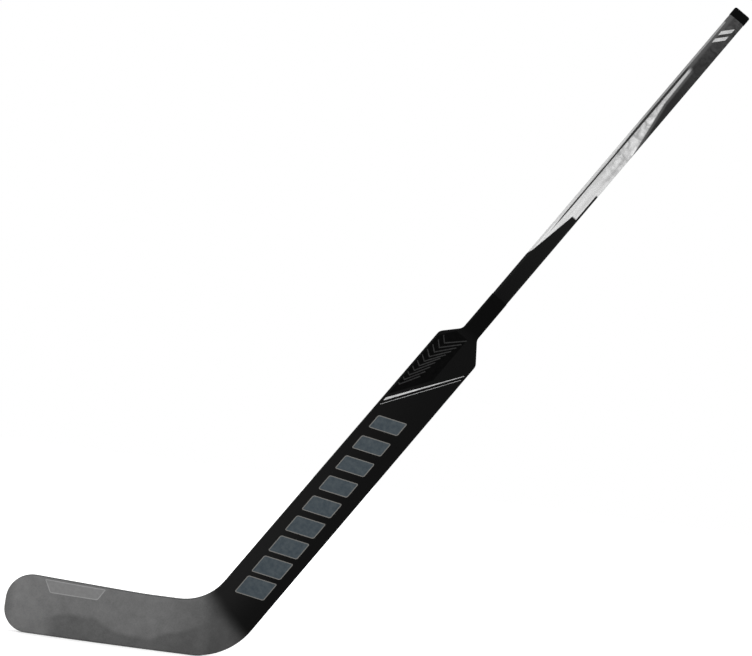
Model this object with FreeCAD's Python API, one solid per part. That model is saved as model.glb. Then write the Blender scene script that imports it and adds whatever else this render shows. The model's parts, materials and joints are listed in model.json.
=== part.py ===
"""Hockey goalie stick: a hollow shaft let into a cored paddle, with a cored and curved blade.

The stick stands on its sole. X runs along the sole with the toe towards -X, Z is up, and Y goes
through the thickness, with the backhand face towards -Y. The origin is on the sole, where the flat
ends and the heel starts to round. Lengths are millimetres and angles are degrees.
"""
import FreeCAD
import Part
import math
import os

# Shaft: a hollow carbon tube with a rounded rectangular section
SHAFT_WIDTH = 28.0
SHAFT_THICKNESS = 19.0
SHAFT_CORNER = 5.0
SHAFT_WALL = 2.2
SHAFT_LENGTH = 660.5          # from the neck to the butt end, cap included
SHAFT_INSERT = 110.0          # length let into the paddle, below the neck
FOOT_PLUG_LENGTH = 22.0       # closes the end that is let in

# Butt cap: a moulded plug with a head a little larger than the shaft
CAP_LENGTH = 15.0
CAP_PROUD = 0.5               # how far the head stands out all round
CAP_EDGE = 2.8
CAP_STEM_LENGTH = 32.0
CAP_STEM_WALL = 2.0
CAP_CLEARANCE = 0.15

# Paddle, measured along and across the shaft from its centre line
LIE = 57.0                    # angle of the shaft above the sole
PADDLE_LENGTH = 635.0         # from the square heel corner to the neck
PADDLE_OUTER = 40.0           # centre line to the outer edge
PADDLE_INNER_SHOULDER = 39.6  # centre line to the inner edge, at the shoulder
PADDLE_INNER_HEEL = 43.0      # the same, level with the square heel corner
INNER_SHOULDER_LENGTH = 27.0
OUTER_SHOULDER_LENGTH = 33.0
SHOULDER_RADIUS = 12.5
NECK_PLY = 0.6                # thickness of the rails beside the shaft, at the neck
NECK_STUB = 12.0              # length of the paddle's straight neck
NECK_WRAP_LENGTH = 60.0       # tape that binds the neck to the shaft
NECK_WRAP_FEATHER = 0.4       # thickness of the tape where it ends

# Blade, measured along the sole from the square heel corner
HEEL_RADIUS = 109.0
HEEL_INNER_RADIUS = 80.0
BLADE_LENGTH = 359.5
BLADE_HEIGHT = 84.6           # near the heel, where the top edge runs level
BLADE_WAIST = 140.0           # where the top edge starts to rise
BLADE_WAIST_RADIUS = 700.0
BLADE_RISE = 2.45             # slope of the top edge from there to the toe
TOE_RAKE = 2.0                # lean of the nose towards the heel
TOE_TOP_RADIUS = 42.0
TOE_SOLE_RADIUS = 37.0
TOE_THICKNESS = 13.0
CURVE_START = 100.0
CURVE_RADIUS = 1300.0
BEND_LEAN = 18.0              # lean of the bend towards the toe, which opens the forehand face

# Shell and core
SKIN = 3.0                    # face laminate
RAIL = 4.0                    # edge laminate between the two faces
EDGE_RADIUS = 2.4             # rounding of the two faces, within their laminate
PADDLE_FOOT = 112.0           # foot of the paddle's rails and cores, along the shaft from the heel corner
SPINE_THICKNESS = 3.0         # web along the middle of the paddle
SPINE_TENON = 28.0            # length of the web let into the heel block
HEEL_BLOCK_LENGTH = 120.0     # from the square heel corner to the block's blade end
BRIDGE_THICKNESS = 3.0        # web along the middle of the blade
BRIDGE_HEIGHT = 44.0          # above the sole
BRIDGE_TENON = 24.0           # length of the web let into the heel block
BRIDGE_TOE_GAP = 62.0         # from the web's end to the nose
TOE_RAIL_LENGTH = 60.0        # the toe's own edge piece, from the nose

# Finger grip: raised rubber chevrons on the inner half of both faces, below the shoulder
GRIP_ROWS = 10
GRIP_PITCH = 10.5
GRIP_DROP = 38.0              # from the neck down to the point of the top chevron
GRIP_OFFSET = 21.5            # from the shaft's centre line to that point
GRIP_DRIFT = 1.3              # how far each next point lies nearer to the inner edge
GRIP_TURN = 3.0               # how far each next chevron turns its outer arm up the shaft
GRIP_LARGEST_TURN = 16.0
GRIP_INNER_ARM = 13.5         # length of the arm towards the inner edge, where there is room
GRIP_OUTER_ARM = 36.0
GRIP_EDGE_GAP = 0.5           # from the end of an inner arm to the rounded edge, at least
GRIP_RIDGE_WIDTH = 1.8
GRIP_RIDGE_HEIGHT = 0.6

# Sizes that follow from those above
PADDLE_THICKNESS = SHAFT_THICKNESS + 2 * SKIN
NECK_HALF = SHAFT_WIDTH / 2 + NECK_PLY
NECK_TOP = PADDLE_LENGTH + NECK_STUB
SHAFT_FOOT = PADDLE_LENGTH - SHAFT_INSERT
BUTT_END = PADDLE_LENGTH + SHAFT_LENGTH
TUBE_END = BUTT_END - CAP_LENGTH
BORE_WIDTH = SHAFT_WIDTH - 2 * SHAFT_WALL
BORE_THICKNESS = SHAFT_THICKNESS - 2 * SHAFT_WALL
BORE_CORNER = SHAFT_CORNER - SHAFT_WALL
EDGE_ROUND = min(EDGE_RADIUS, 0.8 * SKIN)
HEEL_X = HEEL_RADIUS * math.tan(math.radians(LIE / 2))
TOE_X = HEEL_X - BLADE_LENGTH
CURVE_X = HEEL_X - CURVE_START
TOE_REACH = (CURVE_X - TOE_X) * math.cos(math.radians(BEND_LEAN))
HEEL_BLOCK_X = HEEL_X - HEEL_BLOCK_LENGTH
REACH = BUTT_END              # past every piece, for zones that cut right through
UPWARD = (math.cos(math.radians(LIE)), math.sin(math.radians(LIE)))


def face_point(along, across):
    """X and Z of a place along the shaft from the heel corner, and across from its centre line."""
    inward = PADDLE_OUTER + across
    return (HEEL_X + along * UPWARD[0] - inward * UPWARD[1], along * UPWARD[1] + inward * UPWARD[0])


def stick_point(along, across, depth):
    """The same place as a vector, at a depth through the thickness."""
    return at_depth(face_point(along, across), depth)


def at_depth(point, depth):
    return FreeCAD.Vector(point[0], depth, point[1])


def heading(start, end):
    """The direction from one point of the face to another."""
    length = math.dist(start, end)
    return ((end[0] - start[0]) / length, (end[1] - start[1]) / length)


def crossing(point, way, other_point, other_way):
    """Where two lines of the face meet."""
    gap = (other_point[0] - point[0], other_point[1] - point[1])
    spread = way[0] * other_way[1] - way[1] * other_way[0]
    travel = (gap[0] * other_way[1] - gap[1] * other_way[0]) / spread
    return (point[0] + travel * way[0], point[1] + travel * way[1])


def stick_corners():
    """The square corners of paddle and blade, anticlockwise from the heel, each with its radius."""
    inner_shoulder = face_point(PADDLE_LENGTH - INNER_SHOULDER_LENGTH, PADDLE_INNER_SHOULDER)
    outer_shoulder = face_point(PADDLE_LENGTH - OUTER_SHOULDER_LENGTH, -PADDLE_OUTER)
    inner_edge = heading(inner_shoulder, face_point(0, PADDLE_INNER_HEEL))
    waist = (HEEL_X - BLADE_WAIST, BLADE_HEIGHT)
    toe_sole = (TOE_X, 0)
    rise = math.radians(BLADE_RISE)
    rake = math.radians(TOE_RAKE)
    toe_top = crossing(waist, (-math.cos(rise), math.sin(rise)), toe_sole, (math.sin(rake), math.cos(rake)))
    return [
        ((HEEL_X, 0), HEEL_RADIUS),
        (outer_shoulder, SHOULDER_RADIUS),
        (face_point(PADDLE_LENGTH, -NECK_HALF), SHOULDER_RADIUS),
        (face_point(NECK_TOP, -NECK_HALF), 0),
        (face_point(NECK_TOP, NECK_HALF), 0),
        (face_point(PADDLE_LENGTH, NECK_HALF), SHOULDER_RADIUS),
        (inner_shoulder, SHOULDER_RADIUS),
        (crossing(inner_shoulder, inner_edge, waist, (-1, 0)), HEEL_INNER_RADIUS),
        (waist, BLADE_WAIST_RADIUS),
        (toe_top, TOE_TOP_RADIUS),
        (toe_sole, TOE_SOLE_RADIUS),
    ]


def ways_at(corners, index):
    """The directions in which the outline comes to a corner and leaves it."""
    point = corners[index][0]
    following = corners[(index + 1) % len(corners)][0]
    return heading(corners[index - 1][0], point), heading(point, following)


def inset_corners(corners, inset):
    """The outline moved in by an even distance, with its arcs kept concentric."""
    moved = []
    for index, (point, radius) in enumerate(corners):
        before, after = ways_at(corners, index)
        on_before = (point[0] - inset * before[1], point[1] + inset * before[0])
        on_after = (point[0] - inset * after[1], point[1] + inset * after[0])
        turns_left = before[0] * after[1] > before[1] * after[0]
        if radius:
            radius += -inset if turns_left else inset
        moved.append((crossing(on_before, before, on_after, after), radius))
    return moved


def half_turn(corners, index):
    before, after = ways_at(corners, index)
    return math.acos(before[0] * after[0] + before[1] * after[1]) / 2


def arc_reaches(corners):
    """How far each corner's arc runs along its edges, limited where two arcs would meet on one."""
    reaches = [radius * math.tan(half_turn(corners, index)) for index, (_, radius) in enumerate(corners)]
    limits = []
    for index, (point, _) in enumerate(corners):
        following = (index + 1) % len(corners)
        wanted = max(reaches[index] + reaches[following], 1.0)
        limits.append(min(1.0, 0.98 * math.dist(point, corners[following][0]) / wanted))
    return [reach * min(limits[index - 1], limits[index]) for index, reach in enumerate(reaches)]


def rounded_outline(corners, depth):
    """A closed wire of straight edges and tangent arcs, at one depth."""
    reaches = arc_reaches(corners)
    edges = []
    last = None
    first = None
    for index, (point, _) in enumerate(corners):
        before, after = ways_at(corners, index)
        reach = reaches[index]
        start = at_depth((point[0] - reach * before[0], point[1] - reach * before[1]), depth)
        end = at_depth((point[0] + reach * after[0], point[1] + reach * after[1]), depth)
        if last:
            edges.append(Part.LineSegment(last, start).toShape())
        if reach:
            corner = at_depth(point, depth)
            top = corner + ((start + end) / 2 - corner) / (1 + math.cos(half_turn(corners, index)))
            edges.append(Part.Arc(start, top, end).toShape())
        first = first or start
        last = end
    edges.append(Part.LineSegment(last, first).toShape())
    return Part.Wire(edges)


def through(wire):
    """Everything behind and before an outline, from a wire that lies at the depth -REACH."""
    return Part.Face(wire).extrude(FreeCAD.Vector(0, 2 * REACH, 0))


def zone(points):
    """Everything over a polygon of the face."""
    corners = [at_depth(point, -REACH) for point in points]
    return through(Part.makePolygon(corners + corners[:1]))


def shaft_zone(low, high, right=-REACH, left=REACH):
    """Everything between two places along the shaft, and between two places across it."""
    corners = [(low, right), (high, right), (high, left), (low, left)]
    return zone([face_point(along, across) for along, across in corners])


def sole_zone(toe_side, heel_side, low=-REACH, high=REACH):
    """Everything between two places along the sole, and between two heights."""
    return zone([(toe_side, low), (heel_side, low), (heel_side, high), (toe_side, high)])


def rounded_section(along, width, thickness, corner):
    """A rounded rectangle square to the shaft."""
    side = width / 2
    face = thickness / 2
    inset = corner * (1 - math.sqrt(0.5))
    edges = []
    for turn in (1, -1):
        edges.append(Part.LineSegment(
            stick_point(along, turn * side, turn * (corner - face)),
            stick_point(along, turn * side, turn * (face - corner))).toShape())
        edges.append(Part.Arc(
            stick_point(along, turn * side, turn * (face - corner)),
            stick_point(along, turn * (side - inset), turn * (face - inset)),
            stick_point(along, turn * (side - corner), turn * face)).toShape())
        edges.append(Part.LineSegment(
            stick_point(along, turn * (side - corner), turn * face),
            stick_point(along, turn * (corner - side), turn * face)).toShape())
        edges.append(Part.Arc(
            stick_point(along, turn * (corner - side), turn * face),
            stick_point(along, turn * (inset - side), turn * (face - inset)),
            stick_point(along, -turn * side, turn * (face - corner))).toShape())
    return Part.Wire(edges)


def bar(low, high, width, thickness, corner):
    """A rounded rectangular bar along the shaft."""
    section = rounded_section(low, width, thickness, corner)
    return Part.Face(section).extrude(stick_point(high, 0, 0) - stick_point(low, 0, 0))


def shaft_slot():
    """The mortise for the shaft: square sides, with corners cut to touch the tube's rounding."""
    side = SHAFT_WIDTH / 2
    face = SHAFT_THICKNESS / 2
    cut = SHAFT_CORNER * (2 - math.sqrt(2))
    quarter = [(side, face - cut), (side - cut, face)]
    ring = quarter + [(-across, depth) for across, depth in reversed(quarter)]
    ring += [(-across, -depth) for across, depth in ring]
    points = [stick_point(SHAFT_FOOT, across, depth) for across, depth in ring]
    section = Part.makePolygon(points + points[:1])
    return Part.Face(section).extrude(stick_point(BUTT_END, 0, 0) - stick_point(SHAFT_FOOT, 0, 0))


def blade_plan(skin):
    """The plan of the two faces, less a skin: straight, then each a tangent arc to past the toe."""
    flat = PADDLE_THICKNESS / 2 - skin
    toe = TOE_THICKNESS / 2 - skin
    bow = CURVE_RADIUS - math.sqrt(CURVE_RADIUS ** 2 - TOE_REACH ** 2)
    past_toe = 1.3 * TOE_REACH
    sides = []
    for side in (-1, 1):
        step = bow + side * (toe - flat)
        radius = (TOE_REACH ** 2 + step ** 2) / (2 * step)
        points = [FreeCAD.Vector(REACH, side * flat, 0)]
        for distance in (0, past_toe / 2, past_toe):
            depth = side * flat + radius - math.sqrt(radius ** 2 - distance ** 2)
            points.append(FreeCAD.Vector(CURVE_X - distance, depth, 0))
        straight = Part.LineSegment(points[0], points[1]).toShape()
        bowed = Part.Arc(*points[1:]).toShape()
        sides.append((points, [straight, bowed]))
    (front_points, front), (back_points, back) = sides
    toe_end = Part.LineSegment(front_points[-1], back_points[-1]).toShape()
    top_end = Part.LineSegment(back_points[0], front_points[0]).toShape()
    return Part.Wire(front + [toe_end] + back[::-1] + [top_end])


def between_faces(skin):
    """Everything between the two faces, less a skin, with the blade bent about a leaning line."""
    plan = Part.Face(blade_plan(skin))
    plan.rotate(FreeCAD.Vector(CURVE_X, 0, 0), FreeCAD.Vector(0, 1, 0), -BEND_LEAN)
    lean = math.radians(BEND_LEAN)
    bend_line = FreeCAD.Vector(-math.sin(lean), 0, math.cos(lean))
    plan.translate(bend_line * -REACH)
    return plan.extrude(bend_line * 2 * REACH)


def outline_edges(body):
    """The edges between the side walls and the two faces, without those of the neck's end."""
    found = []
    for edge in body.Edges:
        point = edge.valueAt((edge.FirstParameter + edge.LastParameter) / 2)
        tilts = []
        for face in body.ancestorsOfType(edge, Part.Face):
            tilts.append(abs(face.normalAt(*face.Surface.parameter(point)).y))
        along = (point.x - HEEL_X) * UPWARD[0] + point.z * UPWARD[1]
        if min(tilts) < 0.3 and max(tilts) > 0.8 and along < NECK_TOP - 0.01:
            found.append(edge)
    return found


def paddle_and_blade():
    """The form of paddle and blade together, with its edges rounded."""
    outline = through(rounded_outline(stick_corners(), -REACH))
    body = outline.common(between_faces(0)).Solids[0]
    return body.makeFillet(EDGE_ROUND, outline_edges(body))


def whole(shape):
    """The clean solid that a cut left, or the group of them."""
    solids = [solid.removeSplitter() for solid in shape.Solids]
    return solids[0] if len(solids) == 1 else Part.makeCompound(solids)


def laminate_pieces():
    """Skins, edge rails, webs and cores of paddle and blade, cut from the one form so that they meet."""
    body = paddle_and_blade()
    middle = between_faces(SKIN)
    inside = through(rounded_outline(inset_corners(stick_corners(), RAIL), -REACH))
    slot = shaft_slot()
    paddle = shaft_zone(PADDLE_FOOT, REACH)
    inner_half = shaft_zone(PADDLE_FOOT, REACH, right=0)
    outer_half = shaft_zone(PADDLE_FOOT, REACH, left=0)

    front, back = sorted(body.cut(middle).Solids, key=lambda solid: solid.CenterOfMass.y)
    layer = body.common(middle)
    rails = layer.cut(inside).cut(slot)
    core = layer.common(inside).cut(slot)

    half_spine = SPINE_THICKNESS / 2
    spine = core.common(shaft_zone(PADDLE_FOOT - SPINE_TENON, SHAFT_FOOT, -half_spine, half_spine))

    bridge_low = BRIDGE_HEIGHT - BRIDGE_THICKNESS / 2
    bridge_high = BRIDGE_HEIGHT + BRIDGE_THICKNESS / 2
    bridge = core.common(
        sole_zone(TOE_X + BRIDGE_TOE_GAP, HEEL_BLOCK_X + BRIDGE_TENON, bridge_low, bridge_high))

    blade_rails = rails.cut(paddle)
    toe_zone = sole_zone(-REACH, TOE_X + TOE_RAIL_LENGTH)
    sole_rail, top_rail = sorted(blade_rails.cut(toe_zone).Solids, key=lambda solid: solid.CenterOfMass.z)
    blade_core = core.common(sole_zone(-REACH, HEEL_BLOCK_X)).cut(bridge)
    heel_core = core.cut(paddle).common(sole_zone(HEEL_BLOCK_X, REACH))

    return {
        "front_skin": front,
        "back_skin": back,
        "paddle_inner_rail": rails.common(inner_half),
        "paddle_outer_rail": rails.common(outer_half),
        "paddle_inner_core": core.common(inner_half).cut(spine),
        "paddle_outer_core": core.common(outer_half).cut(spine),
        "paddle_spine": spine,
        "heel_block": heel_core.cut(spine).cut(bridge),
        "blade_top_rail": top_rail,
        "blade_sole_rail": sole_rail,
        "blade_toe_rail": blade_rails.common(toe_zone),
        "blade_upper_core": blade_core.common(sole_zone(-REACH, REACH, low=BRIDGE_HEIGHT)),
        "blade_lower_core": blade_core.common(sole_zone(-REACH, REACH, high=BRIDGE_HEIGHT)),
        "blade_bridge": bridge,
    }


def shaft_tube():
    outside = bar(SHAFT_FOOT, TUBE_END, SHAFT_WIDTH, SHAFT_THICKNESS, SHAFT_CORNER)
    return outside.cut(bar(SHAFT_FOOT, TUBE_END, BORE_WIDTH, BORE_THICKNESS, BORE_CORNER))


def foot_plug():
    return bar(SHAFT_FOOT, SHAFT_FOOT + FOOT_PLUG_LENGTH, BORE_WIDTH, BORE_THICKNESS, BORE_CORNER)


def butt_cap():
    """A head with a rounded end, on a hollow stem that plugs the tube."""
    growth = 2 * CAP_PROUD
    cap = bar(TUBE_END, BUTT_END, SHAFT_WIDTH + growth, SHAFT_THICKNESS + growth, SHAFT_CORNER + CAP_PROUD)
    butt = stick_point(BUTT_END, 0, 0)
    end_face = min(cap.Faces, key=lambda face: face.CenterOfMass.distanceToPoint(butt))
    cap = cap.makeFillet(min(CAP_EDGE, 0.6 * CAP_LENGTH, 0.8 * SHAFT_CORNER), end_face.Edges)
    stem_foot = TUBE_END - CAP_STEM_LENGTH
    width = BORE_WIDTH - 2 * CAP_CLEARANCE
    thickness = BORE_THICKNESS - 2 * CAP_CLEARANCE
    corner = BORE_CORNER - CAP_CLEARANCE
    stem = bar(stem_foot, TUBE_END, width, thickness, corner)
    hollow = bar(
        stem_foot, TUBE_END, width - 2 * CAP_STEM_WALL, thickness - 2 * CAP_STEM_WALL, corner - CAP_STEM_WALL)
    return cap.fuse(stem.cut(hollow))


def neck_wrap():
    """Tape round the shaft above the neck, thinning from the paddle's section to a feather edge."""
    top = NECK_TOP + NECK_WRAP_LENGTH
    side = SHAFT_WIDTH / 2 + NECK_WRAP_FEATHER
    face = SHAFT_THICKNESS / 2 + NECK_WRAP_FEATHER
    foot_face = PADDLE_THICKNESS / 2
    plan = [(NECK_TOP, -NECK_HALF), (top, -side), (top, side), (NECK_TOP, NECK_HALF)]
    profile = [(NECK_TOP, -foot_face), (top, -face), (top, face), (NECK_TOP, foot_face)]
    points = [stick_point(along, -SHAFT_WIDTH, depth) for along, depth in profile]
    wedge = Part.Face(Part.makePolygon(points + points[:1]))
    wedge = wedge.extrude(stick_point(0, SHAFT_WIDTH, 0) - stick_point(0, -SHAFT_WIDTH, 0))
    outside = wedge.common(zone([face_point(along, across) for along, across in plan]))
    shaft_way = at_depth(UPWARD, 0)
    long_edges = []
    for edge in outside.Edges:
        if abs(edge.tangentAt(edge.FirstParameter).dot(shaft_way)) > 0.5:
            long_edges.append(edge)
    outside = outside.makeFillet((EDGE_ROUND + SHAFT_CORNER) / 2, long_edges)
    return outside.cut(bar(NECK_TOP, top, SHAFT_WIDTH, SHAFT_THICKNESS, SHAFT_CORNER))


def finger_grip(face_depth, height):
    """Rows of chevron ridges that stand on one face, each with two arms square to each other."""
    edge = PADDLE_INNER_SHOULDER - EDGE_ROUND - GRIP_EDGE_GAP
    wide = GRIP_RIDGE_WIDTH
    ridges = []
    for row in range(GRIP_ROWS):
        tip = PADDLE_LENGTH - GRIP_DROP - row * GRIP_PITCH
        middle = GRIP_OFFSET + row * GRIP_DRIFT
        angle = math.radians(45 - min(row * GRIP_TURN, GRIP_LARGEST_TURN))
        lengthwise, crosswise = math.cos(angle), math.sin(angle)
        room = max(edge - middle, 2 * wide) / lengthwise
        inner = min(GRIP_INNER_ARM, room)
        outer = GRIP_OUTER_ARM
        ring = [(0, 0), (inner, 0), (inner, wide), (wide, wide), (wide, outer), (0, outer)]
        points = []
        for inward, outward in ring:
            along = tip + inward * crosswise + outward * lengthwise
            across = middle + inward * lengthwise - outward * crosswise
            points.append(stick_point(along, across, face_depth))
        ridge = Part.Face(Part.makePolygon(points + points[:1]))
        ridges.append(ridge.extrude(FreeCAD.Vector(0, height, 0)))
    return Part.makeCompound(ridges)


def main():
    pieces = laminate_pieces()
    pieces["shaft_tube"] = shaft_tube()
    pieces["shaft_foot_plug"] = foot_plug()
    pieces["butt_cap"] = butt_cap()
    pieces["neck_wrap"] = neck_wrap()
    pieces["finger_grip_front"] = finger_grip(-PADDLE_THICKNESS / 2, -GRIP_RIDGE_HEIGHT)
    pieces["finger_grip_back"] = finger_grip(PADDLE_THICKNESS / 2, GRIP_RIDGE_HEIGHT)
    os.makedirs("parts", exist_ok=True)
    for name, shape in pieces.items():
        piece = whole(shape)
        piece.exportStep(f"parts/{name}.step")
        print(f"{name}: {len(piece.Solids)} solid, {piece.Volume:.0f} cubic mm, valid {piece.isValid()}")


main()
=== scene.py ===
"""Looks of a hockey goalie stick: paint, print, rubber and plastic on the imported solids.

A place on the stick is written in millimetres: along the shaft from the heel corner, across it from the
centre line towards the inner edge, and in depth from the middle of the paddle, less than zero in front.
A place on the blade is written in millimetres as X, less than zero towards the toe, and Z above the sole.
"""

import json
import math

import bmesh
import bpy
from mathutils import Matrix, Vector


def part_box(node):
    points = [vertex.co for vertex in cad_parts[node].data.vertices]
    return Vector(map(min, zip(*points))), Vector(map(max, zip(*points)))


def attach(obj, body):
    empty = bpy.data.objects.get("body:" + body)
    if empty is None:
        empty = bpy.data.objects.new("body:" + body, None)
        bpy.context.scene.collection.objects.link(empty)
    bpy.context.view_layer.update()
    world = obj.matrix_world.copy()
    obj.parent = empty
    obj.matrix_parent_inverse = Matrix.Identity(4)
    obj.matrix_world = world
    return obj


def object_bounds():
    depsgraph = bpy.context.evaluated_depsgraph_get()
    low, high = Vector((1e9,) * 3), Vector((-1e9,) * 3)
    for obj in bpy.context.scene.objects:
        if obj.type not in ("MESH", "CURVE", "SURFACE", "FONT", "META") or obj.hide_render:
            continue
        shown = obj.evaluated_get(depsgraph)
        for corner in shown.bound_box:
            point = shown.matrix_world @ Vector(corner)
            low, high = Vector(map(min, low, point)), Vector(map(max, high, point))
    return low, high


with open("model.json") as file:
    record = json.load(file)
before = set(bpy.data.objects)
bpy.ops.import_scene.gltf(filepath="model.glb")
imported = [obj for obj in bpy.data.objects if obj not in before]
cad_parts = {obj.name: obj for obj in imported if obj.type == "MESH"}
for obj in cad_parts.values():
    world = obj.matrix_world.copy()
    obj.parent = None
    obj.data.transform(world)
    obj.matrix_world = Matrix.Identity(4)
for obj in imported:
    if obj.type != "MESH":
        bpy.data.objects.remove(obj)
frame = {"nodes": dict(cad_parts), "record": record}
CAD_BOX = [list(corner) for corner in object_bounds()]
NODES = frame["nodes"]
MM = 0.001

# The stick's own axes, from the mount in the middle of the shaft
MOUNTS = {mount["name"]: mount for mount in frame["record"]["mounts"]}
SHAFT_MOUNT = Vector(MOUNTS["shaft_grip"]["pos_m"])
SHAFT_WAY = Vector(MOUNTS["shaft_grip"]["axis"]).normalized()
SHAFT_MOUNT_ALONG = 1000
INWARD = Vector((-SHAFT_WAY.z, 0, SHAFT_WAY.x))
FRONT = Vector((0, -1, 0))
LIE = math.atan2(SHAFT_WAY.z, SHAFT_WAY.x)
PADDLE_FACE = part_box("front_skin")[0].dot(FRONT) / MM
SHAFT_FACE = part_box("shaft_tube")[0].dot(FRONT) / MM

# A Mix node's inputs where it mixes colours and where it mixes numbers, its settings for colours, and a
# Map Range node's setting for a change that starts and ends gently
FACTOR, COLOUR_A, COLOUR_B = 0, 6, 7
NUMBER_A, NUMBER_B = 2, 3
OF_COLOURS = {"data_type": "RGBA", "output": 2}
SMOOTH = {"interpolation_type": "SMOOTHSTEP"}

# Levels that a noise pattern mostly keeps between, and its middle
NOISE_LOW, NOISE_MIDDLE, NOISE_HIGH = 0.3, 0.5, 0.7


def stick_point(along, across, depth):
    """A place on the stick as a point of the frame, in metres."""
    return SHAFT_MOUNT + (SHAFT_WAY * (along - SHAFT_MOUNT_ALONG) + INWARD * across - FRONT * depth) * MM


def colour(code):
    """The linear colour of an sRGB hex value."""
    levels = [int(code[place:place + 2], 16) / 255 for place in (1, 3, 5)]
    linear = [level / 12.92 if level <= 0.04045 else ((level + 0.055) / 1.055) ** 2.4 for level in levels]
    return (*linear, 1.0)


def add(tree, kind, inputs=None, output=0, stops=None, **settings):
    """Adds a node with its settings, feeds its inputs sockets or plain values, and returns one output."""
    node = tree.nodes.new("ShaderNode" + kind)
    for name, value in settings.items():
        setattr(node, name, value)
    for name, value in (inputs or {}).items():
        if isinstance(value, bpy.types.NodeSocket):
            tree.links.new(value, node.inputs[name])
        else:
            node.inputs[name].default_value = value
    for index, (position, code) in enumerate(stops or []):
        elements = node.color_ramp.elements
        element = elements[index] if index < 2 else elements.new(position)
        element.position = position
        element.color = colour(code)
    return node.outputs[output] if node.outputs else None


def new_material(name):
    """An empty material and its node tree."""
    material = bpy.data.materials.new(name)
    material.use_nodes = True
    material.node_tree.nodes.clear()
    return material, material.node_tree


def stick_place(tree):
    """The place on the stick as sockets, in millimetres: along, across, and all three together."""
    mount_turned = Vector((SHAFT_MOUNT.dot(SHAFT_WAY), 0, SHAFT_MOUNT.dot(INWARD))) / MM
    turn = {"Vector": add(tree, "TexCoord", output="Object"), "Scale": (1 / MM, 1 / MM, 1 / MM),
            "Rotation": (0, LIE, 0), "Location": Vector((SHAFT_MOUNT_ALONG, 0, 0)) - mount_turned}
    place = add(tree, "Mapping", turn)
    parts = add(tree, "SeparateXYZ", {"Vector": place}).node.outputs
    return parts["X"], parts["Z"], place


def blade_place(tree):
    """The place on the blade as sockets, X and Z, in millimetres."""
    place = add(tree, "VectorMath", {0: add(tree, "TexCoord", output="Object"), "Scale": 1 / MM},
                operation="SCALE")
    parts = add(tree, "SeparateXYZ", {"Vector": place}).node.outputs
    return parts["X"], parts["Z"]


def paint_edge(tree, place, line, softness):
    """An edge of paint: zero before a line and one past it, with its softness on both sides of the line."""
    return add(tree, "MapRange", {"Value": place, "From Min": line - softness,
                                  "From Max": line + softness}, **SMOOTH)


def graded(tree, place, greys):
    """Paint that changes from place to place, through a list of places in order and their colours."""
    first, last = greys[0][0], greys[-1][0]
    share = add(tree, "MapRange", {"Value": place, "From Min": first, "From Max": last})
    stops = [((stop - first) / (last - first), code) for stop, code in greys]
    return add(tree, "ValToRGB", {"Fac": share}, stops=stops)


# Airbrushed edge from the blade's grey to the paddle's black: its lean, reach and drift in clouds of spray
FADE_LEAN, FADE_FROM, FADE_TO = -0.25, 30, 66
FADE_DRIFT, DRIFT_SIZE = 9, 40

# Greys of the blade from toe to heel, paler towards the toe in painted light and darker towards the heel in
# painted shade, and the darker cloud on it: how high it stands above the sole
BLADE_GREYS_LIT_AND_SHADED = [(-290, "#6f6f6f"), (-200, "#686868"), (-60, "#676767"), (12, "#595959"), (30, "#494949")]
HILL_MIDDLE, HILL_FLAT, HILL_REACH = -182, 15, 74
HILL_TOP, BAND_TOP = 39, 17
RISE_FROM, RISE_TO, RISE_TOP = -65, 20, 50
CLOUD_SOFTNESS, CLOUD_DRIFT, CLOUD_SHARE = 5, 14, 0.36
TOE_CLEAR, TOE_CLOUDED = -238, -214
HEEL_CLOUDED, HEEL_CLEAR = -8, 26

# Painted shade on edges that turn from the face and upwards, by parts of the normal, and on the nose
EDGE_SHADE, EDGE_FACING, FACE_FACING, EDGE_UPWARD = 0.6, 0.5, 0.95, 0.3
NOSE_SHADE, NOSE_FROM, NOSE_TO = 0.33, -298, -282

# Mottle and grit of the matt coat, and orange peel of the satin coats. The grit is about 0.3 mm in life,
# and is drawn coarser so that it shows.
MOTTLE_SIZE, GRIT_SIZE, PEEL_SIZE = 16, 2.4, 1.1
GRIT_SHARE = 0.75
MOTTLE_LOW, MOTTLE_HIGH = 0.55, 1.2
MOTTLE_DARK, MOTTLE_PALE = 0.84, 1.16

# Relief of the coats, how strongly each one shows it, and how rough each one is
COAT_RELIEF = 0.2
MATT_BUMP, SATIN_BUMP, LACQUER_BUMP = 0.2, 0.05, 0.03
MATT_ROUGHNESS, SATIN_ROUGHNESS, ROUGHNESS_DRIFT = 0.66, 0.46, 0.12

# Blacks of the paddle: where a painted sheen makes the inner half paler across it, and where the black
# deepens along it
PADDLE_BLACK, SHEEN_BLACK, NECK_BLACK = "#0b0b0b", "#191919", "#040404"
SHEEN_FROM, SHEEN_TO = -30, 34
DEEPER_FROM, DEEPER_TO = 120, 560
NECK_FROM, NECK_TO = 622, 642


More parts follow.
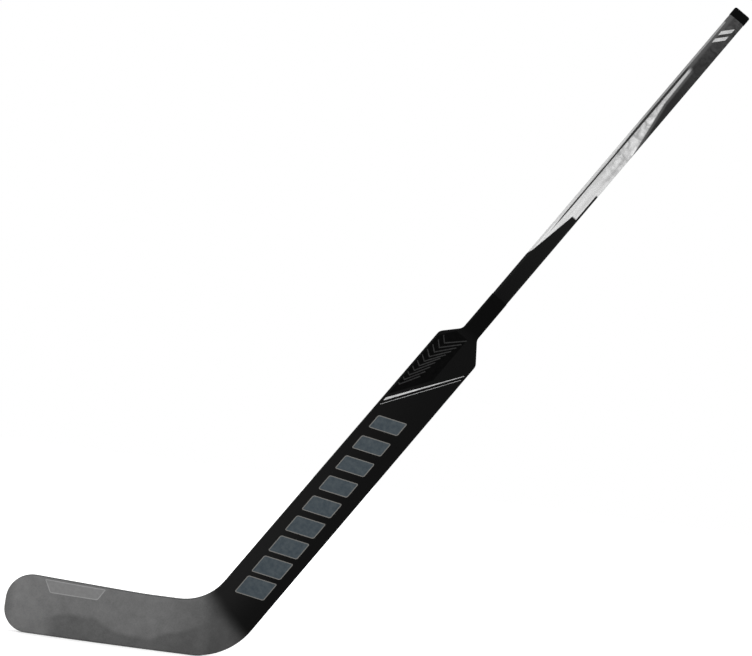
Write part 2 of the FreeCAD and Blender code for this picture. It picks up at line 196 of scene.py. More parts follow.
def blade_cloud(tree, x, z, wander):
    """Share of the darker cloud along the sole, with a hill towards the toe and a rise into the heel."""
    beside_hill = add(tree, "Math", {0: x, 1: HILL_MIDDLE}, operation="SUBTRACT")
    from_hill = add(tree, "Math", {0: beside_hill}, operation="ABSOLUTE")
    hill = add(tree, "MapRange", {"Value": from_hill, "From Min": HILL_FLAT, "From Max": HILL_REACH,
                                  "To Min": HILL_TOP, "To Max": BAND_TOP}, **SMOOTH)
    rise = add(tree, "MapRange", {"Value": x, "From Min": RISE_FROM, "From Max": RISE_TO,
                                  "To Min": BAND_TOP, "To Max": RISE_TOP})
    top = add(tree, "Math", {0: hill, 1: rise}, operation="MAXIMUM")
    ragged_top = add(tree, "Math", {0: wander, 1: CLOUD_DRIFT, 2: top}, operation="MULTIPLY_ADD")
    above = add(tree, "Math", {0: z, 1: ragged_top}, operation="SUBTRACT")
    cloud = add(tree, "MapRange", {"Value": above, "From Min": -CLOUD_SOFTNESS, "From Max": CLOUD_SOFTNESS,
                                   "To Min": CLOUD_SHARE, "To Max": 0}, **SMOOTH)
    from_toe = add(tree, "MapRange", {"Value": x, "From Min": TOE_CLEAR, "From Max": TOE_CLOUDED}, **SMOOTH)
    from_heel = add(tree, "MapRange", {"Value": x, "From Min": HEEL_CLOUDED, "From Max": HEEL_CLEAR,
                                       "To Min": 1, "To Max": 0}, **SMOOTH)
    cloud = add(tree, "Math", {0: cloud, 1: from_toe}, operation="MULTIPLY")
    return add(tree, "Math", {0: cloud, 1: from_heel}, operation="MULTIPLY")


def painted_edge_shade(tree, x):
    """Share of painted shade, in dark grey, over the rounded upper edge and the nose."""
    normal = add(tree, "SeparateXYZ", {"Vector": add(tree, "NewGeometry", output="Normal")}).node.outputs
    facing = add(tree, "Math", {0: normal["Y"]}, operation="ABSOLUTE")
    edge = add(tree, "MapRange", {"Value": facing, "From Min": EDGE_FACING, "From Max": FACE_FACING,
                                  "To Min": EDGE_SHADE, "To Max": 0})
    upward = add(tree, "MapRange", {"Value": normal["Z"], "From Max": EDGE_UPWARD})
    upper_edge = add(tree, "Math", {0: edge, 1: upward}, operation="MULTIPLY")
    nose = add(tree, "MapRange", {"Value": x, "From Min": NOSE_FROM, "From Max": NOSE_TO,
                                  "To Min": NOSE_SHADE, "To Max": 0})
    return add(tree, "Math", {0: upper_edge, 1: nose}, operation="MAXIMUM")


def blade_grey(tree, place, wander, grit):
    """Matt grey of the blade: clouded, mottled and gritty, paler towards the toe in painted light, darker
    towards the heel in painted shade, and with painted shade on its upper edge and nose.
    """
    x, z = blade_place(tree)
    # The grey is paler towards the toe in painted light and darker towards the heel in painted shade
    grey = graded(tree, x, BLADE_GREYS_LIT_AND_SHADED)
    grey = add(tree, "Mix", {FACTOR: blade_cloud(tree, x, z, wander), COLOUR_A: grey,
                             COLOUR_B: colour("#303030")}, **OF_COLOURS)
    # Painted shade in dark grey on the rounded upper edge and the nose
    grey = add(tree, "Mix", {FACTOR: painted_edge_shade(tree, x), COLOUR_A: grey, COLOUR_B: colour("#202020")},
               **OF_COLOURS)
    mottle = add(tree, "TexNoise", {"Vector": place, "Scale": 1 / MOTTLE_SIZE, "Detail": 4,
                                    "Roughness": 0.62})
    both = add(tree, "Math", {0: grit, 1: GRIT_SHARE, 2: mottle}, operation="MULTIPLY_ADD")
    tone = add(tree, "MapRange", {"Value": both, "From Min": MOTTLE_LOW, "From Max": MOTTLE_HIGH,
                                  "To Min": MOTTLE_DARK, "To Max": MOTTLE_PALE})
    return add(tree, "VectorMath", {0: grey, "Scale": tone}, operation="SCALE")


def paddle_black(tree, along, across):
    """Satin black of the paddle, with a painted sheen that makes it paler towards the inner edge and the
    heel, and deepest at the neck.
    """
    # Painted sheen: the black is paler on the inner half, near the heel
    inner = add(tree, "MapRange", {"Value": across, "From Min": SHEEN_FROM, "From Max": SHEEN_TO}, **SMOOTH)
    sheened_black = add(tree, "Mix", {FACTOR: inner, COLOUR_A: colour(PADDLE_BLACK),
                                  COLOUR_B: colour(SHEEN_BLACK)}, **OF_COLOURS)
    deeper = add(tree, "MapRange", {"Value": along, "From Min": DEEPER_FROM, "From Max": DEEPER_TO})
    black = add(tree, "Mix", {FACTOR: deeper, COLOUR_A: sheened_black, COLOUR_B: colour(PADDLE_BLACK)},
                **OF_COLOURS)
    neck = add(tree, "MapRange", {"Value": along, "From Min": NECK_FROM, "From Max": NECK_TO})
    return add(tree, "Mix", {FACTOR: neck, COLOUR_A: black, COLOUR_B: colour(NECK_BLACK)}, **OF_COLOURS)


def satin_painted_laminate():
    """Matt grey on the blade, airbrushed into satin black on the paddle, over carbon laminate.

    The eye sees a cloudy, slightly grained grey that darkens along the sole and, in painted shade, round the
    heel, a soft edge about 35 mm wide, and a deep black with a painted sheen that makes its inner half a
    little paler.
    """
    material, tree = new_material("satin_painted_laminate")
    along, across, place = stick_place(tree)
    drift = add(tree, "TexNoise", {"Vector": place, "Scale": 1 / DRIFT_SIZE, "Detail": 2})
    wander = add(tree, "Math", {0: drift, 1: NOISE_MIDDLE}, operation="SUBTRACT")
    grit = add(tree, "TexNoise", {"Vector": place, "Scale": 1 / GRIT_SIZE, "Detail": 3, "Roughness": 0.6})
    peel = add(tree, "TexNoise", {"Vector": place, "Scale": 1 / PEEL_SIZE, "Detail": 1})

    # Airbrushed edge between the two colours
    leaning = add(tree, "Math", {0: across, 1: FADE_LEAN, 2: along}, operation="MULTIPLY_ADD")
    sprayed = add(tree, "Math", {0: wander, 1: FADE_DRIFT, 2: leaning}, operation="MULTIPLY_ADD")
    black_share = add(tree, "MapRange", {"Value": sprayed, "From Min": FADE_FROM, "From Max": FADE_TO},
                      **SMOOTH)
    paint = add(tree, "Mix", {FACTOR: black_share, COLOUR_A: blade_grey(tree, place, wander, grit),
                              COLOUR_B: paddle_black(tree, along, across)}, **OF_COLOURS)

    # The matt coat is gritty, and the satin coat has a faint orange peel
    height = add(tree, "Mix", {FACTOR: black_share, NUMBER_A: grit, NUMBER_B: peel})
    strength = add(tree, "MapRange", {"Value": black_share, "To Min": MATT_BUMP, "To Max": SATIN_BUMP})
    bump = add(tree, "Bump", {"Strength": strength, "Distance": COAT_RELIEF * MM, "Height": height})
    coat_rough = add(tree, "MapRange", {"Value": black_share, "To Min": MATT_ROUGHNESS,
                                        "To Max": SATIN_ROUGHNESS})
    rough = add(tree, "Math", {0: wander, 1: ROUGHNESS_DRIFT, 2: coat_rough}, operation="MULTIPLY_ADD")
    shader = add(tree, "BsdfPrincipled", {"Base Color": paint, "Roughness": rough, "IOR": 1.5,
                                          "Specular IOR Level": 0.025, "Normal": bump})
    add(tree, "OutputMaterial", {"Surface": shader})
    return material


# Half widths of a masked edge, of a square end of a colour, and of a misted edge
MASKED, SQUARE_END, MISTED = 0.5, 1.5, 1.2

# Black of the lower shaft, paler as it goes up, and the slant, the square end and the tail that it ends in
SHAFT_HALF = 14
BLACK_DEEP, BLACK_PALE = 700, 860
BLACK_FROM, BLACK_TO, BLACK_SLOPE = 781, 879, 0.174
SILVER_FROM, SILVER_SLOPE = 790, 2.9
TAIL_TO, TAIL_WIDTH = 928, 3.4

# Silver: its greys from the outer edge to the pinstripe, where it is pale and dull along the shaft, and its
# streaks and marbling
SILVER_GREYS = [(-14, "#dedede"), (-7, "#b0b0b0"), (-1, "#cacaca"), (4, "#bdbdbd"), (9, "#a2a2a2")]
PALE_FROM, PALE_TO = 850, 970
DULL_FROM, DULL_TO = 1070, 1150
STREAK_LENGTH, STREAK_WIDTH = 60, 9
STREAK_DARK, STREAK_PALE = 0.9, 1.1
MARBLE_FROM, MARBLE_FULL, MARBLE_SIZE = 930, 1000, 13
MARBLE_LOW, MARBLE_HIGH = 0.35, 0.65
MARBLE_DARK, MARBLE_PALE = 0.62, 1.18

# Pinstripe beside the inner edge, which moves inwards and widens on its way to the butt
PINSTRIPE, PINSTRIPE_HALF = 8.4, 1.2
PINSTRIPE_FROM, PINSTRIPE_FULL = 836, 880
PINSTRIPE_GROWS, PINSTRIPE_WIDE = 1000, 1066
PINSTRIPE_SHIFT, PINSTRIPE_GROWTH = 0.9, 1

# Charcoal: its slanting edge, the stripe of silver that it leaves, the haze beside the edge and beside the
# pale strip, and the smoke in it
CHARCOAL_FROM, CHARCOAL_TO = 1006, 1107
CHARCOAL_STARTS, CHARCOAL_ENDS = -14.3, 1.6
STRIPE_FROM, STRIPE_TO, STRIPE_TAPER = 1110, 1176, 1.5
STRIPE_FADES, STRIPE_GONE = 1167, 1179
HAZE_FROM, HAZE_TO = -6, -2
STRIP_HAZE_FROM, STRIP_HAZE_TO = 3, 8.5
SMOKE_FROM, SMOKE_TO = 1120, 1280
SMOKE_DARK, SMOKE_PALE = 0.5, 1.6

# Pale strip on the narrow inner side
STRIP, STRIP_TO = 10.9, 1266
STRIP_BRIGHT, STRIP_DULL = 1010, 1090


def past_lower_black(tree, along, across):
    """Zero on the lower shaft's black, which ends on a slant, then square and in a tail, and one past it."""
    slant = add(tree, "Math", {0: along, 1: BLACK_SLOPE, 2: across}, operation="MULTIPLY_ADD")
    past_slant = paint_edge(tree, slant, BLACK_SLOPE * BLACK_FROM + SHAFT_HALF, MASKED)
    past_square = paint_edge(tree, along, BLACK_TO, SQUARE_END)
    past_end = add(tree, "Math", {0: past_slant, 1: past_square}, operation="MAXIMUM")
    start = add(tree, "Math", {0: across, 1: SILVER_SLOPE, 2: along}, operation="MULTIPLY_ADD")
    past_start = paint_edge(tree, start, SILVER_SLOPE * SHAFT_HALF + SILVER_FROM, SQUARE_END)
    past_black = add(tree, "Math", {0: past_end, 1: past_start}, operation="MINIMUM")
    past_tail = paint_edge(tree, along, TAIL_TO, SQUARE_END)
    inside_tail = paint_edge(tree, across, TAIL_WIDTH - SHAFT_HALF, MASKED)
    off_tail = add(tree, "Math", {0: past_tail, 1: inside_tail}, operation="MAXIMUM")
    return add(tree, "Math", {0: past_black, 1: off_tail}, operation="MINIMUM")


def marbled_silver(tree, along, across, streak, marble):
    """Silver with soft streaks: pale at first, then graded across and marbled, and dull towards the butt."""
    veins = add(tree, "MapRange", {"Value": marble, "From Min": MARBLE_LOW, "From Max": MARBLE_HIGH,
                                   "To Min": MARBLE_DARK, "To Max": MARBLE_PALE})
    marble_share = add(tree, "MapRange", {"Value": along, "From Min": MARBLE_FROM, "From Max": MARBLE_FULL})
    tone = add(tree, "Mix", {FACTOR: marble_share, NUMBER_A: 1, NUMBER_B: veins})
    silver = add(tree, "VectorMath", {0: graded(tree, across, SILVER_GREYS), "Scale": tone},
                 operation="SCALE")
    greyed = add(tree, "MapRange", {"Value": along, "From Min": PALE_FROM, "From Max": PALE_TO})
    silver = add(tree, "Mix", {FACTOR: greyed, COLOUR_A: colour("#d0d0d0"), COLOUR_B: silver}, **OF_COLOURS)
    shine = add(tree, "MapRange", {"Value": streak, "From Min": NOISE_LOW, "From Max": NOISE_HIGH,
                                   "To Min": STREAK_DARK, "To Max": STREAK_PALE})
    silver = add(tree, "VectorMath", {0: silver, "Scale": shine}, operation="SCALE")
    dulled = add(tree, "MapRange", {"Value": along, "From Min": DULL_FROM, "From Max": DULL_TO})
    return add(tree, "Mix", {FACTOR: dulled, COLOUR_A: silver, COLOUR_B: colour("#aeaeae")}, **OF_COLOURS)


def beside_pinstripe(tree, along, across):
    """Zero on the dark pinstripe and one beside it."""
    grown = add(tree, "MapRange", {"Value": along, "From Min": PINSTRIPE_GROWS, "From Max": PINSTRIPE_WIDE})
    line = add(tree, "Math", {0: grown, 1: PINSTRIPE_SHIFT, 2: PINSTRIPE}, operation="MULTIPLY_ADD")
    aside = add(tree, "Math", {0: across, 1: line}, operation="SUBTRACT")
    away = add(tree, "Math", {0: aside}, operation="ABSOLUTE")
    thin = add(tree, "MapRange", {"Value": along, "From Min": PINSTRIPE_FROM, "From Max": PINSTRIPE_FULL,
                                  "To Max": PINSTRIPE_HALF})
    half = add(tree, "Math", {0: grown, 1: PINSTRIPE_GROWTH, 2: thin}, operation="MULTIPLY_ADD")
    past_half = add(tree, "Math", {0: away, 1: half}, operation="SUBTRACT")
    return paint_edge(tree, past_half, 0, MASKED)


def charcoal_over(tree, along, across, marble, silver):
    """Charcoal over the silver, cut in from the outer edge, with a stripe of silver left inside it."""
    cut = add(tree, "MapRange", {"Value": along, "From Min": CHARCOAL_FROM, "From Max": CHARCOAL_TO,
                                 "To Min": CHARCOAL_STARTS, "To Max": CHARCOAL_ENDS})
    taper = add(tree, "MapRange", {"Value": along, "From Min": STRIPE_FROM, "From Max": STRIPE_TO,
                                   "To Max": STRIPE_TAPER})
    edge = add(tree, "Math", {0: cut, 1: taper}, operation="ADD")
    past_edge = add(tree, "Math", {0: across, 1: edge}, operation="SUBTRACT")
    before_end = add(tree, "MapRange", {"Value": along, "From Min": STRIPE_FADES, "From Max": STRIPE_GONE,
                                        "To Min": 1, "To Max": 0}, **SMOOTH)
    silver_share = add(tree, "Math", {0: paint_edge(tree, past_edge, 0, MISTED), 1: before_end},
                       operation="MULTIPLY")

    # Smoky charcoal, with a paler haze beside the stripe and, past its end, beside the strip
    upper = add(tree, "MapRange", {"Value": along, "From Min": SMOKE_FROM, "From Max": SMOKE_TO})
    charcoal = add(tree, "Mix", {FACTOR: upper, COLOUR_A: colour("#262626"), COLOUR_B: colour("#3a3a3a")},
                   **OF_COLOURS)
    wisps = add(tree, "MapRange", {"Value": marble, "From Min": MARBLE_LOW, "From Max": MARBLE_HIGH,
                                   "To Min": SMOKE_DARK, "To Max": SMOKE_PALE})
    smoke = add(tree, "Mix", {FACTOR: upper, NUMBER_A: 1, NUMBER_B: wisps})
    charcoal = add(tree, "VectorMath", {0: charcoal, "Scale": smoke}, operation="SCALE")
    by_stripe = add(tree, "MapRange", {"Value": past_edge, "From Min": HAZE_FROM, "From Max": HAZE_TO},
                    **SMOOTH)
    by_strip = add(tree, "MapRange", {"Value": across, "From Min": STRIP_HAZE_FROM,
                                      "From Max": STRIP_HAZE_TO}, **SMOOTH)
    haze = add(tree, "Mix", {FACTOR: before_end, NUMBER_A: by_strip, NUMBER_B: by_stripe})
    charcoal = add(tree, "Mix", {FACTOR: haze, COLOUR_A: charcoal, COLOUR_B: colour("#4e4e4e")},
                   **OF_COLOURS)
    return add(tree, "Mix", {FACTOR: silver_share, COLOUR_A: charcoal, COLOUR_B: silver}, **OF_COLOURS)


def pale_strip_over(tree, along, across, below):
    """The pale strip on the narrow inner side, over the colours below it."""
    before_end = add(tree, "MapRange", {"Value": along, "From Min": STRIP_TO - SQUARE_END,
                                        "From Max": STRIP_TO + SQUARE_END, "To Min": 1, "To Max": 0})
    share = add(tree, "Math", {0: paint_edge(tree, across, STRIP, MASKED), 1: before_end},
                operation="MULTIPLY")
    dulled = add(tree, "MapRange", {"Value": along, "From Min": STRIP_BRIGHT, "From Max": STRIP_DULL},
                 **SMOOTH)
    strip = add(tree, "Mix", {FACTOR: dulled, COLOUR_A: colour("#bdbdbd"), COLOUR_B: colour("#888888")},
                **OF_COLOURS)
    return add(tree, "Mix", {FACTOR: share, COLOUR_A: below, COLOUR_B: strip}, **OF_COLOURS)


def satin_lacquered_tube():
    """Black lacquer below, silver with a dark pinstripe in the middle, and charcoal above, on a carbon tube.

    The eye sees long slanting ends to each colour, silver with soft streaks and a marbled stretch, smoke in
    the charcoal, and one pale narrow side.
    """
    material, tree = new_material("satin_lacquered_tube")
    along, across, place = stick_place(tree)
    stretched = add(tree, "Mapping", {"Vector": place, "Scale": (1 / STREAK_LENGTH, 1 / STREAK_WIDTH,
                                                                 1 / STREAK_WIDTH)})
    streak = add(tree, "TexNoise", {"Vector": stretched, "Scale": 1, "Detail": 1, "Distortion": 0.4})
    marble = add(tree, "TexNoise", {"Vector": place, "Scale": 1 / MARBLE_SIZE, "Detail": 2,
                                    "Distortion": 1.2})
    peel = add(tree, "TexNoise", {"Vector": place, "Scale": 1 / PEEL_SIZE, "Detail": 1})

    silver = marbled_silver(tree, along, across, streak, marble)
    lined = add(tree, "Mix", {FACTOR: beside_pinstripe(tree, along, across), COLOUR_A: colour("#2e2e2e"),
                              COLOUR_B: silver}, **OF_COLOURS)
    upper = charcoal_over(tree, along, across, marble, lined)
    upper = pale_strip_over(tree, along, across, upper)
    paler = add(tree, "MapRange", {"Value": along, "From Min": BLACK_DEEP, "From Max": BLACK_PALE})
    black = add(tree, "Mix", {FACTOR: paler, COLOUR_A: colour("#0a0a0a"), COLOUR_B: colour("#141414")},
                **OF_COLOURS)
    lacquer = add(tree, "Mix", {FACTOR: past_lower_black(tree, along, across), COLOUR_A: black,
                                COLOUR_B: upper}, **OF_COLOURS)

    bump = add(tree, "Bump", {"Strength": LACQUER_BUMP, "Distance": COAT_RELIEF * MM, "Height": peel})
    rough = add(tree, "MapRange", {"Value": streak, "To Min": 0.36, "To Max": 0.46})
    shader = add(tree, "BsdfPrincipled", {"Base Color": lacquer, "Roughness": rough, "IOR": 1.5,
                                          "Specular IOR Level": 0.03, "Normal": bump})
    add(tree, "OutputMaterial", {"Surface": shader})
    return material


# Sizes and reliefs of the other patterns. The cap's grain is about 0.2 mm in life, and is drawn coarser so
# that it shows.
CAP_GRAIN, CAP_RELIEF = 0.8, 0.15
RUBBER_BLOOM = 6
FOAM_CELL, FOAM_RELIEF = 0.7, 0.2
TWILL_THREAD = 2


def moulded_cap_plastic():
    """Moulded black polyurethane: the eye sees an even, fine spark-eroded grain with hardly any shine."""
    material, tree = new_material("moulded_cap_plastic")
    place = stick_place(tree)[2]
    grain = add(tree, "TexNoise", {"Vector": place, "Scale": 1 / CAP_GRAIN, "Detail": 3})
    tone = add(tree, "ValToRGB", {"Fac": grain}, stops=[(NOISE_LOW, "#030303"), (NOISE_HIGH, "#080808")])
    rough = add(tree, "MapRange", {"Value": grain, "To Min": 0.5, "To Max": 0.7})
    bump = add(tree, "Bump", {"Strength": 0.25, "Distance": CAP_RELIEF * MM, "Height": grain})
    shader = add(tree, "BsdfPrincipled", {"Base Color": tone, "Roughness": rough, "IOR": 1.5,
                                          "Specular IOR Level": 0.02, "Normal": bump})
    add(tree, "OutputMaterial", {"Surface": shader})
    return material


def grip_rubber(name, low, high):
    """Soft black rubber, printed as a film with thick ridges: the eye sees dull lines on a black patch."""
    material, tree = new_material(name)
    place = stick_place(tree)[2]
    bloom = add(tree, "TexNoise", {"Vector": place, "Scale": 1 / RUBBER_BLOOM, "Detail": 3})
    tone = add(tree, "ValToRGB", {"Fac": bloom}, stops=[(NOISE_LOW, low), (NOISE_HIGH, high)])
    rough = add(tree, "MapRange", {"Value": bloom, "To Min": 0.7, "To Max": 0.85})
    shader = add(tree, "BsdfPrincipled", {"Base Color": tone, "Roughness": rough, "IOR": 1.52,
                                          "Specular IOR Level": 0.02})
    add(tree, "OutputMaterial", {"Surface": shader})
    return material


def rigid_foam():
    """Closed-cell core foam, sawn and sanded: the eye sees pale straw with fine open cells."""
    material, tree = new_material("rigid_foam")
    place = stick_place(tree)[2]
    cells = add(tree, "TexVoronoi", {"Vector": place, "Scale": 1 / FOAM_CELL})
    tone = add(tree, "ValToRGB", {"Fac": cells}, stops=[(0.1, "#b8ab83"), (0.6, "#ddd2ac")])
    rough = add(tree, "MapRange", {"Value": cells, "To Min": 0.95, "To Max": 0.8})
    bump = add(tree, "Bump", {"Strength": 0.4, "Distance": FOAM_RELIEF * MM, "Height": cells})
    shader = add(tree, "BsdfPrincipled", {"Base Color": tone, "Roughness": rough, "Normal": bump})
    add(tree, "OutputMaterial", {"Surface": shader})
    return material


def carbon_twill():
    """Cured carbon twill: the eye sees crossed charcoal threads, 2 mm wide, that catch light in turn."""
    material, tree = new_material("carbon_twill")
    place = stick_place(tree)[2]
    weave = add(tree, "TexChecker", {"Vector": place, "Scale": 1 / TWILL_THREAD}, output="Fac")
    tone = add(tree, "ValToRGB", {"Fac": weave}, stops=[(0, "#16171a"), (1, "#2a2c30")])
    rough = add(tree, "MapRange", {"Value": weave, "To Min": 0.32, "To Max": 0.5})
    shader = add(tree, "BsdfPrincipled", {"Base Color": tone, "Roughness": rough,
                                          "Specular IOR Level": 0.3})
    add(tree, "OutputMaterial", {"Surface": shader})
    return material


def printed_ink(name, low, high, blotch_size):
    """Screen-printed ink under clear coat: the eye sees one colour, a little blotched where it lay thin."""
    material, tree = new_material(name)
    place = stick_place(tree)[2]
    blotch = add(tree, "TexNoise", {"Vector": place, "Scale": 1 / blotch_size, "Detail": 4,
                                    "Roughness": 0.6})
    tone = add(tree, "ValToRGB", {"Fac": blotch}, stops=[(NOISE_LOW, low), (NOISE_HIGH, high)])
    rough = add(tree, "MapRange", {"Value": blotch, "To Min": 0.42, "To Max": 0.56})
    shader = add(tree, "BsdfPrincipled", {"Base Color": tone, "Roughness": rough, "IOR": 1.5,
                                          "Specular IOR Level": 0.03})
    add(tree, "OutputMaterial", {"Surface": shader})
    return material


FINISHES = {
    satin_painted_laminate(): ["front_skin", "back_skin", "paddle_inner_rail", "paddle_outer_rail",
                               "blade_top_rail", "blade_sole_rail", "blade_toe_rail", "neck_wrap"],
    satin_lacquered_tube(): ["shaft_tube"],
    moulded_cap_plastic(): ["butt_cap"],
    grip_rubber("grip_ridge_rubber", "#262626", "#323232"): ["finger_grip_front", "finger_grip_back"],
    rigid_foam(): ["paddle_inner_core", "paddle_outer_core", "blade_upper_core", "blade_lower_core",
                   "heel_block", "shaft_foot_plug"],
    carbon_twill(): ["paddle_spine", "blade_bridge"],
}
for finish, names in FINISHES.items():
    for name in names:
        NODES[name].data.materials.clear()
        NODES[name].data.materials.append(finish)

SLATE_INK = printed_ink("slate_ink", "#373f45", "#474e52", blotch_size=7)
RIM_INK = printed_ink("warm_grey_ink", "#656563", "#72716e", blotch_size=3)
SILVER_INK = printed_ink("silver_ink", "#9a9a9a", "#c8c8c8", blotch_size=9)
FILM = printed_ink("frosted_film", "#737373", "#7c7c7c", blotch_size=5)
FILM_RIM = printed_ink("frosted_film_edge", "#878787", "#919191", blotch_size=5)
GRIP_FILM = grip_rubber("grip_film_rubber", "#030303", "#070707")

# Prints lie on the paint, and reach a little below it so that nothing shows between
INK_THICKNESS, INK_SEAT = 0.12, 0.05
CORNER_SEGMENTS = 4
SIDES = {"front": -1, "back": 1}

# Slanted bars on the paddle, which thin out and drift inwards on their way up
BAR_FIRST, BAR_PITCH, BAR_COUNT = 98, 41.5, 9
BAR_WIDEST, BAR_NARROWEST = 34, 25
BAR_HALF_BAND, BAR_SLANT = 22, 0.42
BAR_MIDDLE, BAR_DRIFT = -2, 0.9
BAR_CORNER, BAR_RIM = 3, 1.4

# Silver flash across the paddle below the finger grip, with a hairline under it
FLASH_INNER, FLASH_OUTER, FLASH_HALF = 468, 578, 36
FLASH_THICK, FLASH_THIN = 6, 1.2
HAIRLINE_DROP, HAIRLINE_THICK = 8, 0.9

# Rubber film under the ridges of the finger grip
GRIP_CORNERS = [(481, 36.8), (601, 36.8), (625, 19.5), (625, -3), (542, -3)]

# Two silver slashes near the butt
SLASH_FROM, SLASH_PITCH, SLASH_COUNT = 1236, 15, 2
SLASH_WIDTH, SLASH_LEAN, SLASH_HALF = 8, 8, 7

# Plain film panel on the blade, cut into narrow strips that follow the bowed face
PANEL_CORNERS = [(-240, 88.5), (-142, 84.4), (-153.5, 66), (-229.5, 67.5)]
PANEL_CORNER, PANEL_RIM, PANEL_STEP = 2.5, 1.6, 8
CUT_TOLERANCE = 1e-7


def finish_piece(name, shape, materials):
    """Makes a piece of the object from a closed bmesh, fixed to the stick."""
    bmesh.ops.recalc_face_normals(shape, faces=shape.faces)
    mesh = bpy.data.meshes.new(name)
    shape.to_mesh(mesh)
    shape.free()
    piece = bpy.data.objects.new(name, mesh)
    bpy.context.scene.collection.objects.link(piece)
    for material in materials:
        mesh.materials.append(material)
    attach(piece, "root")


def cut_print(shape, points, corner_radius, rim):
    """Adds a flat print with rounded corners and a rim of the second ink, and returns its faces."""
    others = set(shape.faces)
    corners = [shape.verts.new(point) for point in points]
    shape.faces.new(corners)
    if corner_radius:
        bmesh.ops.bevel(shape, geom=corners, offset=corner_radius * MM, offset_type="OFFSET",
                        segments=CORNER_SEGMENTS, profile=0.5, affect="VERTICES", material=-1)
    faces = [face for face in shape.faces if face not in others]
    if rim:
        border = bmesh.ops.inset_region(shape, faces=faces, thickness=rim * MM, use_boundary=True,
                                        use_even_offset=True)["faces"]
        for face in border:
            face.material_index = 1
        faces += border
    return faces


def thicken_print(shape, faces, outward):
    """Gives a print its thickness, from its seat under the paint to its face above it."""
    raised = bmesh.ops.extrude_face_region(shape, geom=faces)["geom"]
    points = [part for part in raised if isinstance(part, bmesh.types.BMVert)]
    bmesh.ops.translate(shape, verts=points, vec=outward * (INK_SEAT + INK_THICKNESS) * MM)


def lay_print(shape, corners, face, side, corner_radius=0, rim=0):
    """Lays a print on a flat face: corners are (along, across), and side is -1 in front and 1 behind."""
    seat = side * (face - INK_SEAT)
    points = [stick_point(along, across, seat) for along, across in corners]
    faces = cut_print(shape, points, corner_radius, rim)
    thicken_print(shape, faces, -FRONT * side)


def slanted_bar(inner_start, inner_width, outer_start, outer_width, inner, outer):
    """Corners of a bar that runs slanting over the stick, from its inner end to its outer end."""
    return [(inner_start, inner), (inner_start + inner_width, inner),
            (outer_start + outer_width, outer), (outer_start, outer)]


def paddle_bars(shape, side):
    """Nine slanted bars with rims, up the paddle."""
    lean = BAR_SLANT * BAR_HALF_BAND
    for number in range(BAR_COUNT):
        start = BAR_FIRST + BAR_PITCH * number
        width = BAR_WIDEST + (BAR_NARROWEST - BAR_WIDEST) * number / (BAR_COUNT - 1)
        middle = BAR_MIDDLE + BAR_DRIFT * number
        corners = slanted_bar(start - lean, width, start + lean, width,
                              middle + BAR_HALF_BAND, middle - BAR_HALF_BAND)
        lay_print(shape, corners, PADDLE_FACE, side, BAR_CORNER, BAR_RIM)


def paddle_flash(shape, side):
    """A flash that tapers towards the outer edge, and the hairline under it."""
    flash = slanted_bar(FLASH_INNER, FLASH_THICK, FLASH_OUTER, FLASH_THIN, FLASH_HALF, -FLASH_HALF)
    hairline = slanted_bar(FLASH_INNER - HAIRLINE_DROP, HAIRLINE_THICK,
                           FLASH_OUTER - HAIRLINE_DROP, HAIRLINE_THICK, FLASH_HALF, -FLASH_HALF)
    for corners in (flash, hairline):
        lay_print(shape, corners, PADDLE_FACE, side)


def grip_film(shape, side):
    """The film that carries the ridges of the finger grip."""
    lay_print(shape, GRIP_CORNERS, PADDLE_FACE, side)


def shaft_slashes(shape, side):
    """Slashes across the shaft, one above the other."""
    for number in range(SLASH_COUNT):
        start = SLASH_FROM + SLASH_PITCH * number
        corners = slanted_bar(start - SLASH_LEAN, SLASH_WIDTH, start + SLASH_LEAN, SLASH_WIDTH,
                              SLASH_HALF, -SLASH_HALF)
        lay_print(shape, corners, SHAFT_FACE, side)


def blade_film_panel():
    """The film panel, laid on the bowed front face of the blade."""
    panel = bmesh.new()
    cut_print(panel, [(x * MM, 0, z * MM) for x, z in PANEL_CORNERS], PANEL_CORNER, PANEL_RIM)
    ends = [x for x, z in PANEL_CORNERS]
    for cut_x in range(min(ends) + PANEL_STEP, max(ends), PANEL_STEP):
        bmesh.ops.bisect_plane(panel, geom=panel.verts[:] + panel.edges[:] + panel.faces[:],
                               dist=CUT_TOLERANCE, plane_co=(cut_x * MM, 0, 0), plane_no=(1, 0, 0))
    for vert in panel.verts:
        face_point = NODES["front_skin"].ray_cast(vert.co + FRONT, -FRONT)[1]
        vert.co = face_point - FRONT * INK_SEAT * MM
    thicken_print(panel, panel.faces[:], FRONT)
    finish_piece("blade_film_panel", panel, [FILM, FILM_RIM])


PRINTS = {
    "paddle_bars": (paddle_bars, [SLATE_INK, RIM_INK], "stick_paint"),
    "paddle_flash": (paddle_flash, [SILVER_INK], "stick_paint"),
    "grip_film": (grip_film, [GRIP_FILM], "grip_rubber"),
    "shaft_slashes": (shaft_slashes, [SILVER_INK], "shaft_paint"),
}
for print_name, (lay, inks, print_slot) in PRINTS.items():
    for side_name, side in SIDES.items():
        print_shape = bmesh.new()
        lay(print_shape, side)
        finish_piece(print_name + "_" + side_name, print_shape, inks)
blade_film_panel()

# Pale floor and white surroundings, in metres: seen as white, while what lights the stick stays plain
FLOOR_RADIUS, FLOOR_DROP, FLOOR_SIDES = 8, 0.0005, 96
GLOW_FROM, GLOW_TO = 0.6, 2.4
GLOW_NEAR, GLOW_FAR = 0.3, 1


def seen_directly(tree):
    """One where a camera, glossy or transmission ray looks, and zero for the rays that light the stick."""
    path = add(tree, "LightPath").node.outputs
    first = add(tree, "Math", {0: path["Is Camera Ray"], 1: path["Is Glossy Ray"]}, operation="MAXIMUM")
    return add(tree, "Math", {0: first, 1: path["Is Transmission Ray"]}, operation="MAXIMUM")


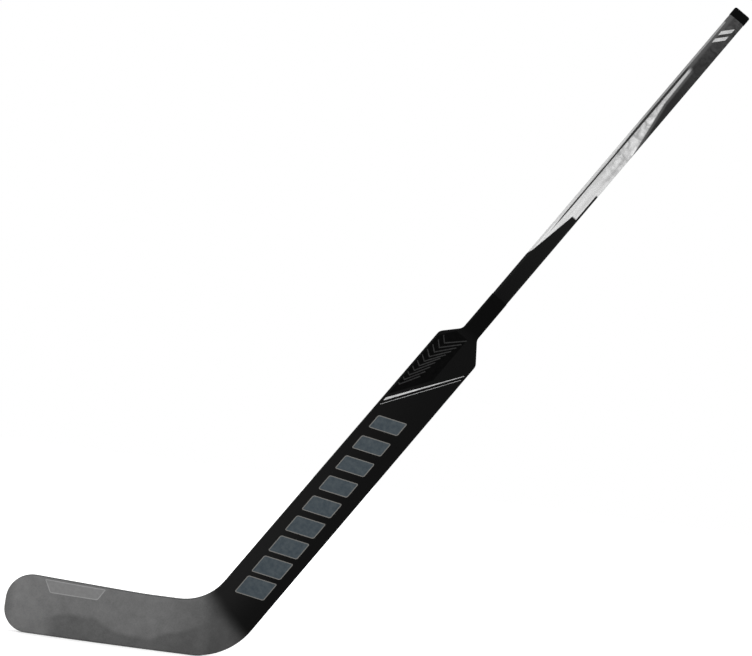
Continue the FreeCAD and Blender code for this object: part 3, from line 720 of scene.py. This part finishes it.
def white_floor():
    """Matt white board: the eye sees plain white with the stick's soft shadow on it."""
    material, tree = new_material("white_floor")
    board = add(tree, "BsdfDiffuse", {"Color": colour("#e7e7e7")})
    reach = add(tree, "VectorMath", {0: add(tree, "TexCoord", output="Object")}, output="Value",
                operation="LENGTH")
    glow_strength = add(tree, "MapRange", {"Value": reach, "From Min": GLOW_FROM, "From Max": GLOW_TO,
                                           "To Min": GLOW_NEAR, "To Max": GLOW_FAR}, **SMOOTH)
    seen_glow = add(tree, "Math", {0: glow_strength, 1: seen_directly(tree)}, operation="MULTIPLY")
    glow = add(tree, "Emission", {"Color": colour("#ffffff"), "Strength": seen_glow})
    surface = add(tree, "AddShader", {0: board, 1: glow})
    add(tree, "OutputMaterial", {"Surface": surface})
    return material


floor_shape = bmesh.new()
bmesh.ops.create_circle(floor_shape, cap_ends=True, segments=FLOOR_SIDES, radius=FLOOR_RADIUS,
                        matrix=Matrix.Translation((0, 0, -FLOOR_DROP)))
floor_mesh = bpy.data.meshes.new("floor")
floor_shape.to_mesh(floor_mesh)
floor_shape.free()
floor_mesh.materials.append(white_floor())
floor = bpy.data.objects.new("floor", floor_mesh)
bpy.context.scene.collection.objects.link(floor)

world = bpy.data.worlds.new("white_studio")
bpy.context.scene.world = world
world.use_nodes = True
world.node_tree.nodes.clear()
surroundings = add(world.node_tree, "Mix", {FACTOR: seen_directly(world.node_tree),
                                            COLOUR_A: colour("#aaaaaa"), COLOUR_B: colour("#ffffff")},
                   **OF_COLOURS)
sky = add(world.node_tree, "Background", {"Color": surroundings, "Strength": 1})
add(world.node_tree, "OutputWorld", {"Surface": sky})

# Soft lamps round the stick: place and width in metres, and power in watts
STICK_MIDDLE = (Vector(CAD_BOX[0]) + Vector(CAD_BOX[1])) / 2
LAMPS = {
    "key_front_left": ((-1.5, -2.5, 2.2), 1.6, 55),
    "fill_front_right": ((2.3, -2.1, 1.4), 1.6, 26),
    "back_right": ((1.9, 2.3, 2.0), 1.6, 45),
    "back_left": ((-1.8, 2.1, 1.3), 1.6, 26),
    "top": ((0.2, 0, 3.4), 2.0, 30),
}
for lamp_name, (lamp_place, lamp_width, lamp_power) in LAMPS.items():
    light = bpy.data.lights.new(lamp_name, "AREA")
    light.size = lamp_width
    light.energy = lamp_power
    lamp = bpy.data.objects.new(lamp_name, light)
    bpy.context.scene.collection.objects.link(lamp)
    lamp.location = lamp_place
    lamp.rotation_euler = (STICK_MIDDLE - lamp.location).to_track_quat("-Z", "Y").to_euler()

# Camera square to the paddle's face, rolled so that the stick leans as in the photograph: places in
# metres, lens and sensor in millimetres and roll in degrees
CAMERA_DISTANCE, VIEW_X, VIEW_Z, VIEW_REACH = 6.538, 0.2244, 0.5448, 100
CAMERA_LENS, CAMERA_SENSOR, CAMERA_ROLL = 200, 36, 7.36

view = bpy.data.cameras.new("camera")
view.lens = CAMERA_LENS
view.sensor_width = CAMERA_SENSOR
view.clip_end = VIEW_REACH
camera = bpy.data.objects.new("camera", view)
bpy.context.scene.collection.objects.link(camera)
roll = math.radians(CAMERA_ROLL)
camera.location = (VIEW_X, -PADDLE_FACE * MM - CAMERA_DISTANCE, VIEW_Z)
camera.rotation_euler = Matrix(((math.cos(roll), -math.sin(roll), 0),
                                (0, 0, -1),
                                (math.sin(roll), math.cos(roll), 0))).to_euler()
bpy.context.scene.camera = camera
bpy.context.scene.view_settings.view_transform = "Standard"
